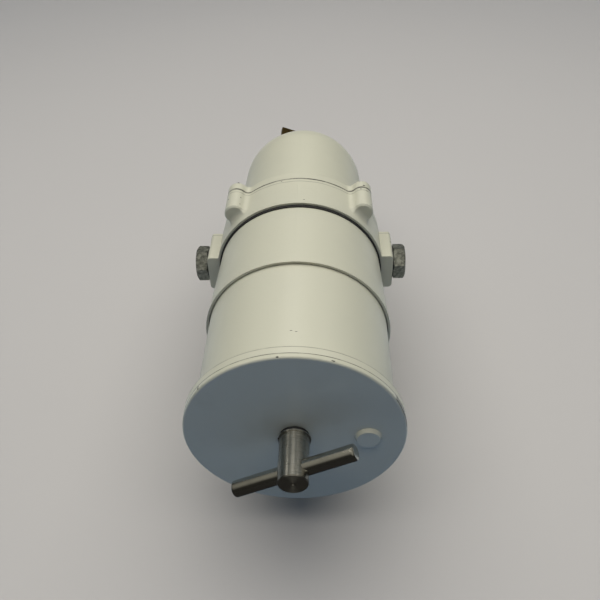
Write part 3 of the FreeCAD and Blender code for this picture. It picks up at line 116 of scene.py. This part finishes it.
# Moulded, cast and rubber finishes: name, dark and light colour, roughness, grain scale,
# grain height, metallic, nodes
GRAINED = (
    ("black_rubber", (0.012, 0.012, 0.012), (0.030, 0.029, 0.028), 0.65, 500.0, 0.00004, 0.0,
     ("lid_gasket", "handle_washer", "tube_gasket", "housing_gasket", "bowl_gasket",
      "port_ring_left", "port_ring_right", "drain_ring", "element_top_grommet",
      "element_bottom_grommet")),
    ("black_plastic", (0.018, 0.018, 0.019), (0.040, 0.040, 0.041), 0.5, 900.0, 0.00003, 0.0,
     ("element_top_cap", "element_bottom_cap", "turbine", "conical_baffle", "ball_seat",
      "ball_retainer")),
    ("pale_plastic", (0.60, 0.59, 0.55), (0.70, 0.69, 0.64), 0.4, 400.0, 0.00002, 0.0,
     ("check_ball",)),
    ("mill_aluminium", (0.48, 0.48, 0.49), (0.62, 0.62, 0.63), 0.38, 240.0, 0.00003, 1.0,
     ("return_tube",)),
    ("drain_brass", (0.085, 0.055, 0.014), (0.17, 0.115, 0.032), 0.42, 220.0, 0.00008, 1.0,
     ("drain_body", "drain_key")))

# The floor as it is seen, as it lights the filter's front and sides, and as metal mirrors it
FLOOR = (0.468, 0.451, 0.424)
FLOOR_LIGHT_FRONT = (0.28, 0.40, 0.66)
FLOOR_LIGHT_SIDE = (0.43, 0.45, 0.45)
FLOOR_IN_METAL = (0.013, 0.012, 0.011)
FLOOR_FRONT_FADE = (-0.15, -0.21)
FLOOR_HALF_WIDTH = 4.0
FLOOR_PALER = 1.03

# The room's light from the camera's side and from the far side, and as metal mirrors it
ROOM_FRONT = (0.15, 0.29, 0.62)
ROOM_BACK = (0.33, 0.41, 0.52)
ROOM_IN_METAL = (0.30, 0.29, 0.25)
ROOM_SEEN = (0.80, 0.79, 0.77)

# Where along Y the room's light goes over from front to back, as parts of a direction
ROOM_FRONT_END = -0.7
ROOM_FADE_LENGTH = 1.1
ROOM_FRONT_SHARE = 0.08
ROOM_LEVEL_SHARE = 0.25

# The bright stripe overhead that turned metal mirrors, and the thin line on each side of it
CEILING_RISE = (0.30, 0.65)
CEILING_LOW = 0.10
STRIPE_EDGE = (0.15, 0.27)
STRIPE_STRENGTH = 2.4
BESIDE_STRIPE = 0.15
LINE_PLACE = 0.42
LINE_HALF_WIDTH = 0.06
LINE_STRENGTH = 0.9
AHEAD_FADE = (0.55, 0.70)

# Lamps over the filter: name, place along X, width, power, whether polished surfaces mirror it
LAMPS = (
    ("overhead", 0.0, 2.4, 34.5, False),
    ("ceiling_panel", -0.07, 0.50, 9.0, True),
    ("ceiling_strip_left", -1.25, 0.08, 3.0, True),
    ("ceiling_strip_right", 0.78, 0.08, 3.0, True))
LAMP_PLACE_ALONG = 0.14
LAMP_HEIGHT = 1.50
LAMP_LENGTH = 2.1
LAMP_AIM_HEIGHT = 0.1
LAMP_COLOUR = (1.0, 0.95, 0.875)

# The camera, fitted to the round edges in the photograph
LENS_MM = 40.8
SENSOR_MM = 36.0
CLIP_START = 0.01
CAMERA_PLACE = (0.0207, -0.4545, 0.4595)
CAMERA_RIGHT = (0.9993, 0.0221, -0.0315)
CAMERA_FORWARD = (-0.0374, 0.7529, -0.6571)

# Display levels, from dark to full, and the curve between them
DISPLAY_FULL = 255
DISPLAY_KNEE = 0.04045
DISPLAY_SLOPE = 12.92
DISPLAY_OFFSET = 0.055
DISPLAY_POWER = 2.4


def srgb(red, green, blue):
    """A linear colour from its display values of 0 to 255."""
    return tuple(
        value / DISPLAY_SLOPE if value <= DISPLAY_KNEE
        else ((value + DISPLAY_OFFSET) / (1 + DISPLAY_OFFSET)) ** DISPLAY_POWER
        for value in (red / DISPLAY_FULL, green / DISPLAY_FULL, blue / DISPLAY_FULL))


ZINC_DARK = srgb(104, 106, 100)
ZINC_LIGHT = srgb(176, 178, 168)
ZINC_PATCH = srgb(116, 118, 110)
PAPER_DARK = srgb(166, 142, 98)
PAPER_LIGHT = srgb(206, 184, 140)


class Finish:
    """A material's node tree, with short calls for the nodes that the finishes share."""

    def __init__(self, name, roughness=0.5, metallic=0.0):
        self.material = bpy.data.materials.new(name)
        self.material.use_nodes = True
        self.start(self.material.node_tree, "ShaderNodeBsdfPrincipled",
                   "ShaderNodeOutputMaterial", "Object")
        self.set("Roughness", roughness)
        self.set("Metallic", metallic)

    def start(self, tree, shader, output, coordinates):
        """Clear a node tree and put one shader in it, with the coordinates it works in."""
        self.tree = tree
        tree.nodes.clear()
        self.surface = tree.nodes.new(shader)
        tree.links.new(self.surface.outputs[0], tree.nodes.new(output).inputs["Surface"])
        self.place = tree.nodes.new("ShaderNodeTexCoord").outputs[coordinates]
        self.height = None

    @classmethod
    def around(cls, tree):
        """The room's own node tree, which works in directions."""
        room = cls.__new__(cls)
        room.start(tree, "ShaderNodeBackground", "ShaderNodeOutputWorld", "Generated")
        return room

    def feed(self, socket, value):
        """Set a socket to a number or colour, or link another node's output to it."""
        if isinstance(value, bpy.types.NodeSocket):
            self.tree.links.new(value, socket)
        elif isinstance(value, tuple) and len(value) == 3 and len(socket.default_value) == 4:
            socket.default_value = (*value, 1)
        else:
            socket.default_value = value

    def set(self, name, value):
        """Set one input of the shader."""
        self.feed(self.surface.inputs[name], value)

    def rays(self):
        """What kind of ray is asking for the colour."""
        return self.tree.nodes.new("ShaderNodeLightPath").outputs

    def math(self, operation, first, second=0.0, third=0.0, clamp=False):
        node = self.tree.nodes.new("ShaderNodeMath")
        node.operation = operation
        node.use_clamp = clamp
        for socket, value in zip(node.inputs, (first, second, third)):
            self.feed(socket, value)
        return node.outputs[0]

    def product(self, first, *others):
        """The product of two or more values."""
        for other in others:
            first = self.math("MULTIPLY", first, other)
        return first

    def distance(self, value, target):
        """How far a value is from a target, either way."""
        return self.math("ABSOLUTE", self.math("SUBTRACT", value, target))

    def vector(self, operation, first, second=(0.0, 0.0, 0.0)):
        node = self.tree.nodes.new("ShaderNodeVectorMath")
        node.operation = operation
        self.feed(node.inputs[0], first)
        self.feed(node.inputs["Scale" if operation == "SCALE" else 1], second)
        return node.outputs["Value" if operation == "LENGTH" else "Vector"]

    def split(self, vector):
        """The X, Y and Z of a vector."""
        node = self.tree.nodes.new("ShaderNodeSeparateXYZ")
        self.feed(node.inputs[0], vector)
        return node.outputs

    def stretched(self, across, along, up):
        """The piece's coordinates, multiplied by a scale for each direction."""
        node = self.tree.nodes.new("ShaderNodeMapping")
        self.feed(node.inputs["Vector"], self.place)
        self.feed(node.inputs["Scale"], (across, along, up))
        return node.outputs[0]

    def noise(self, scale, detail=3.0, roughness=0.55, vector=None):
        """A noise of about 0 to 1, in the piece's coordinates unless others are given."""
        node = self.tree.nodes.new("ShaderNodeTexNoise")
        self.feed(node.inputs["Vector"], vector or self.place)
        for name, entry in (("Scale", scale), ("Detail", detail), ("Roughness", roughness)):
            self.feed(node.inputs[name], entry)
        return node.outputs["Fac"]

    def between(self, value, low, high, out_low=0.0, out_high=1.0):
        """A smooth step from out_low to out_high as the value goes from low to high."""
        node = self.tree.nodes.new("ShaderNodeMapRange")
        node.interpolation_type = "SMOOTHSTEP"
        for name, entry in (("Value", value), ("From Min", low), ("From Max", high),
                            ("To Min", out_low), ("To Max", out_high)):
            self.feed(node.inputs[name], entry)
        return node.outputs[0]

    def mix(self, factor, first, second):
        """The first colour going over to the second as the factor goes from 0 to 1."""
        node = self.tree.nodes.new("ShaderNodeMix")
        node.data_type = "RGBA"
        self.feed(node.inputs["Factor"], factor)
        colour_inputs = [socket for socket in node.inputs if socket.type == "RGBA"]
        self.feed(colour_inputs[0], first)
        self.feed(colour_inputs[1], second)
        return next(socket for socket in node.outputs if socket.type == "RGBA")

    def add_bump(self, height, distance):
        """Raise the surface by a height field of 0 to 1, on top of earlier bumps."""
        node = self.tree.nodes.new("ShaderNodeBump")
        node.inputs["Distance"].default_value = distance
        self.feed(node.inputs["Height"], height)
        if self.height is not None:
            self.feed(node.inputs["Normal"], self.height)
        self.height = node.outputs[0]
        self.set("Normal", self.height)

    def soften_edges(self, radius):
        """Let sharp edges catch the light as if they were slightly rounded."""
        node = self.tree.nodes.new("ShaderNodeBevel")
        node.samples = BEVEL_SAMPLES
        node.inputs["Radius"].default_value = radius
        self.height = node.outputs[0]
        self.set("Normal", self.height)

    def put_on(self, *names):
        """Make this the only material of the named nodes."""
        for name in names:
            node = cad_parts[name]
            node.data.materials.clear()
            node.data.materials.append(self.material)


def draw_seams_and_shade_line(finish, colour, dark_lines):
    """Fine dark lines round the filter, slightly wavy and broken: seams, and one line of painted
    shade.
    """
    along = finish.split(finish.place)[1]
    wobble = finish.math("SUBTRACT", finish.noise(scale=60.0, detail=2.0), 0.5)
    along = finish.math("ADD", along, finish.product(wobble, 0.0004))
    broken = finish.between(finish.noise(scale=170.0), 0.30, 0.55, out_low=0.55)
    for station, half_width, depth in dark_lines:
        away = finish.distance(along, station)
        line = finish.between(away, half_width, half_width * 0.4, out_high=depth)
        colour = finish.mix(finish.product(line, broken), colour, DARK_MARK)
    return colour


def draw_chips_and_shade(finish, colour, dark_marks):
    """Small ragged dark marks: chips where the paint is gone, and dashes of painted shade."""
    ragged = finish.noise(scale=700.0, roughness=0.6)
    marked = None
    for place, radius, stretch in dark_marks:
        offset = finish.vector("SUBTRACT", finish.place, place)
        offset = finish.vector("DIVIDE", offset, stretch)
        away = finish.vector("LENGTH", offset)
        edge = finish.math("MULTIPLY_ADD", ragged, radius * MARK_RAGGED, away)
        mark = finish.between(edge, *(radius * share for share in MARK_FADE))
        marked = mark if marked is None else finish.math("MAXIMUM", marked, mark)
    return finish.mix(marked, colour, DARK_MARK)


def draw_rim_line(finish, colour):
    """The dark stroke along part of the lid's rim."""
    across, _, up = finish.split(finish.place)
    from_axis = finish.math("SUBTRACT", up, AXIS_HEIGHT)
    squares = finish.math("ADD", finish.product(across, across),
                          finish.product(from_axis, from_axis))
    away = finish.distance(finish.math("SQRT", squares), LID_RADIUS)
    low, high = RIM_LINE_HEIGHTS
    line = finish.product(
        finish.between(away, RIM_LINE_HALF_WIDTH, RIM_LINE_HALF_WIDTH * 0.5),
        finish.between(up, low, low + RIM_LINE_FADE),
        finish.between(up, high, high - RIM_LINE_FADE),
        finish.math("GREATER_THAN", across, 0.0),
        RIM_LINE_DEPTH)
    return finish.mix(line, colour, DARK_MARK)


def enamel(name, lumps=0.0, dark_lines=(), dark_marks=(), edge=CAST_EDGE, gloss=SEMI_GLOSS,
           rim_line=False):
    """Off-white enamel, a little uneven and stained, with seams, chips and marks of painted
    shade where they show.
    """
    finish = Finish(name)
    finish.soften_edges(edge)
    cloud = finish.noise(scale=14.0, detail=4.0)
    streak = finish.noise(scale=9.0, vector=finish.stretched(3.0, 0.6, 3.0))
    speck = finish.between(finish.noise(scale=900.0, detail=2.0), 0.66, 0.74)
    clouded = finish.between(cloud, 0.42, 0.72, out_high=0.45)
    colour = finish.mix(clouded, ENAMEL, ENAMEL_DARK)
    streaked = finish.between(streak, 0.60, 0.80, out_high=0.22)
    colour = finish.mix(streaked, colour, ENAMEL_STAIN)
    colour = finish.mix(finish.product(speck, 0.12), colour, ENAMEL_STAIN)
    if dark_lines:
        colour = draw_seams_and_shade_line(finish, colour, dark_lines)
    if dark_marks:
        colour = draw_chips_and_shade(finish, colour, dark_marks)
    if rim_line:
        colour = draw_rim_line(finish, colour)
    finish.set("Base Color", colour)
    finish.set("Roughness", finish.between(cloud, 0.3, 0.8, *gloss))
    finish.add_bump(finish.noise(scale=420.0, detail=2.0, roughness=0.4), PAINT_RELIEF)
    if lumps:
        finish.add_bump(finish.noise(scale=110.0, roughness=0.5), lumps)
    return finish


def turned_steel(name, colour, scratch_scale, roughness, lathe_lines=0.0):
    """Bright steel with fine scratches; lathe lines round Y draw its highlights out along it."""
    finish = Finish(name, roughness=roughness, metallic=1.0)
    finish.soften_edges(TURNED_EDGE)
    if lathe_lines:
        round_axis = finish.tree.nodes.new("ShaderNodeTangent")
        round_axis.direction_type = "RADIAL"
        round_axis.axis = "Y"
        finish.set("Anisotropic", lathe_lines)
        finish.set("Anisotropic Rotation", QUARTER_TURN)
        finish.set("Tangent", round_axis.outputs[0])
    fine = finish.noise(scale=1.0, roughness=0.7, vector=finish.stretched(*scratch_scale))
    tarnish = finish.noise(scale=160.0, detail=4.0, roughness=0.6)
    tarnished = finish.between(tarnish, 0.40, 0.75, out_high=0.5)
    dull = tuple(value * 0.72 for value in colour)
    finish.set("Base Color", finish.mix(tarnished, colour, dull))
    finish.set("Roughness", finish.between(fine, 0.25, 0.75, roughness * 0.75, roughness * 1.35))
    finish.add_bump(fine, 0.00002)
    return finish


def zinc_plate(name):
    """Dull plated steel, mottled and speckled."""
    finish = Finish(name, metallic=1.0)
    finish.soften_edges(CAST_EDGE)
    mottle = finish.noise(scale=320.0, detail=5.0, roughness=0.65)
    patch = finish.noise(scale=70.0)
    colour = finish.mix(finish.between(mottle, 0.35, 0.65), ZINC_DARK, ZINC_LIGHT)
    colour = finish.mix(finish.between(patch, 0.45, 0.75, out_high=0.6), colour, ZINC_PATCH)
    pit = finish.between(finish.noise(scale=500.0, detail=2.0), 0.70, 0.76)
    finish.set("Base Color", finish.mix(pit, colour, DARK_MARK))
    finish.set("Roughness", finish.between(mottle, 0.3, 0.7, 0.40, 0.62))
    finish.add_bump(mottle, 0.00006)
    return finish


def grained(name, dark, light, roughness, scale, depth, metallic):
    """A moulded, cast or rubber surface: two near colours and a fine grain."""
    finish = Finish(name, roughness=roughness, metallic=metallic)
    grain = finish.noise(scale, detail=4.0, roughness=0.6)
    finish.set("Base Color", finish.mix(finish.between(grain, 0.3, 0.7), dark, light))
    finish.set("Roughness", finish.between(grain, 0.2, 0.8, roughness * 0.85, roughness * 1.15))
    finish.add_bump(grain, depth)
    return finish


def pleated_paper(name):
    """Resin-treated paper with fibres."""
    finish = Finish(name, roughness=0.85)
    fibre = finish.noise(scale=60.0, detail=5.0, roughness=0.7,
                         vector=finish.stretched(12.0, 2.0, 12.0))
    finish.set("Base Color", finish.mix(fibre, PAPER_DARK, PAPER_LIGHT))
    finish.add_bump(fibre, 0.00008)
    return finish


def dress_nodes():
    """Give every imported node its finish."""
    enamel("enamel_lid", dark_lines=(LID_SEAM,), dark_marks=LID_CHIPS, gloss=HIGH_GLOSS,
           rim_line=True).put_on("lid")
    # The tube's dark lines include painted shade behind the flange
    enamel("enamel_tube", dark_lines=TUBE_SEAM_AND_SHADE_LINE, dark_marks=TUBE_CHIPS,
           edge=TURNED_EDGE).put_on("canister_tube")
    enamel("enamel_housing", edge=ROLLED_EDGE).put_on("housing")
    enamel("enamel_bracket").put_on("bracket")
    enamel("enamel_head", lumps=CASTING_RELIEF, dark_lines=(PARTING_SEAM, TRIM_LINE),
           dark_marks=HEAD_CHIPS, edge=TURNED_EDGE).put_on("head")
    enamel("enamel_bowl", dark_lines=(PARTING_SEAM,), dark_marks=BOWL_CHIPS).put_on("bowl")
    # The bolts carry dashes of painted shade where they meet the ears
    enamel("enamel_bolts", dark_marks=BOLT_SHADE_DASHES).put_on("bowl_bolts", "bowl_bolt_washers")
    turned_steel("hub_steel", HUB_STEEL, LATHE_SCALE, 0.32,
                 lathe_lines=LATHE_STRENGTH).put_on("handle_spindle", "spindle_clip")
    turned_steel("bar_steel", BAR_STEEL, DRAWN_SCALE, 0.10).put_on("handle_bar")
    zinc_plate("zinc_plate").put_on(
        "port_plug_left", "port_plug_right", "bracket_bolts", "bracket_washers", "baffle_bolt",
        "baffle_washer")
    for *look, names in GRAINED:
        grained(*look).put_on(*names)
    pleated_paper("pleated_paper").put_on("element_media")


def add_floor():
    """Plain pale floor under the bracket's back plane."""
    half = FLOOR_HALF_WIDTH
    mesh = bpy.data.meshes.new("floor")
    mesh.from_pydata([(-half, -half, 0), (half, -half, 0), (half, half, 0), (-half, half, 0)],
                     [], [(0, 1, 2, 3)])
    floor = bpy.data.objects.new("floor", mesh)
    bpy.context.scene.collection.objects.link(floor)
    finish = Finish("floor_board", roughness=0.7)
    paler = tuple(value * FLOOR_PALER for value in FLOOR)
    seen = finish.mix(finish.noise(scale=2.2), FLOOR, paler)
    ray = finish.rays()
    in_front = finish.between(finish.split(finish.place)[1], *FLOOR_FRONT_FADE)
    light = finish.mix(in_front, FLOOR_LIGHT_SIDE, FLOOR_LIGHT_FRONT)
    mirrored = finish.product(ray["Is Glossy Ray"], in_front)
    light = finish.mix(mirrored, light, FLOOR_IN_METAL)
    finish.set("Base Color", finish.mix(ray["Is Camera Ray"], light, seen))
    finish.add_bump(finish.noise(scale=500.0, detail=2.0), 0.00004)
    mesh.materials.append(finish.material)


def mirrored_ceiling(room, across, along, up):
    """The ceiling in metal: brighter overhead, and striped where it lies ahead."""
    sideways = room.math("ABSOLUTE", across)
    stripe = room.between(sideways, *STRIPE_EDGE, STRIPE_STRENGTH, BESIDE_STRIPE)
    side_line = room.distance(sideways, LINE_PLACE)
    side_line = room.between(side_line, 0.0, LINE_HALF_WIDTH, LINE_STRENGTH, 0.0)
    stripe = room.math("SUBTRACT", room.math("ADD", stripe, side_line), 1.0)
    striped = room.math("MULTIPLY_ADD", room.between(along, *AHEAD_FADE), stripe, 1.0)
    overhead = room.between(up, *CEILING_RISE, out_low=CEILING_LOW)
    return room.vector("SCALE", ROOM_IN_METAL, room.product(overhead, striped))


def add_world():
    """Dim room light, cooler and weaker from the camera's side, pale where it is seen."""
    world = bpy.data.worlds.new("room")
    bpy.context.scene.world = world
    world.use_nodes = True
    room = Finish.around(world.node_tree)
    across, along, up = room.split(room.place)
    ray = room.rays()
    behind = room.math("MULTIPLY_ADD", along, 1 / ROOM_FADE_LENGTH,
                       -ROOM_FRONT_END / ROOM_FADE_LENGTH, clamp=True)
    strength = room.product(
        room.math("MULTIPLY_ADD", up, 1 - ROOM_LEVEL_SHARE, ROOM_LEVEL_SHARE),
        room.math("MULTIPLY_ADD", behind, 1 - ROOM_FRONT_SHARE, ROOM_FRONT_SHARE))
    light = room.vector("SCALE", room.mix(behind, ROOM_FRONT, ROOM_BACK), strength)
    ceiling = mirrored_ceiling(room, across, along, up)
    light = room.mix(ray["Is Glossy Ray"], light, ceiling)
    room.set("Color", room.mix(ray["Is Camera Ray"], light, ROOM_SEEN))


def add_lamp(name, across, width, power, mirrored):
    """A lamp overhead that either lights the surfaces or is what polished ones mirror."""
    lamp = bpy.data.lights.new(name, "AREA")
    lamp.shape = "RECTANGLE"
    lamp.size = width
    lamp.size_y = LAMP_LENGTH
    lamp.energy = power
    lamp.color = LAMP_COLOUR
    item = bpy.data.objects.new(name, lamp)
    item.location = (across, LAMP_PLACE_ALONG, LAMP_HEIGHT)
    aim = Vector((across, 0.0, LAMP_AIM_HEIGHT)) - item.location
    item.rotation_euler = aim.to_track_quat("-Z", "Y").to_euler()
    item.visible_diffuse = not mirrored
    item.visible_glossy = mirrored
    bpy.context.scene.collection.objects.link(item)


def add_camera():
    """Camera at the photograph's place: above the lid, looking along the filter and down."""
    camera = bpy.data.cameras.new("camera")
    camera.lens = LENS_MM
    camera.sensor_width = SENSOR_MM
    camera.clip_start = CLIP_START
    right = Vector(CAMERA_RIGHT).normalized()
    forward = Vector(CAMERA_FORWARD).normalized()
    up = right.cross(forward).normalized()
    item = bpy.data.objects.new("camera", camera)
    item.matrix_world = Matrix.LocRotScale(
        Vector(CAMERA_PLACE), Matrix((right, up, -forward)).transposed().to_quaternion(), None)
    bpy.context.scene.collection.objects.link(item)
    bpy.context.scene.camera = item


dress_nodes()
add_floor()
add_world()
for lamp in LAMPS:
    add_lamp(*lamp)
add_camera()
bpy.context.scene.view_settings.view_transform = "Standard"
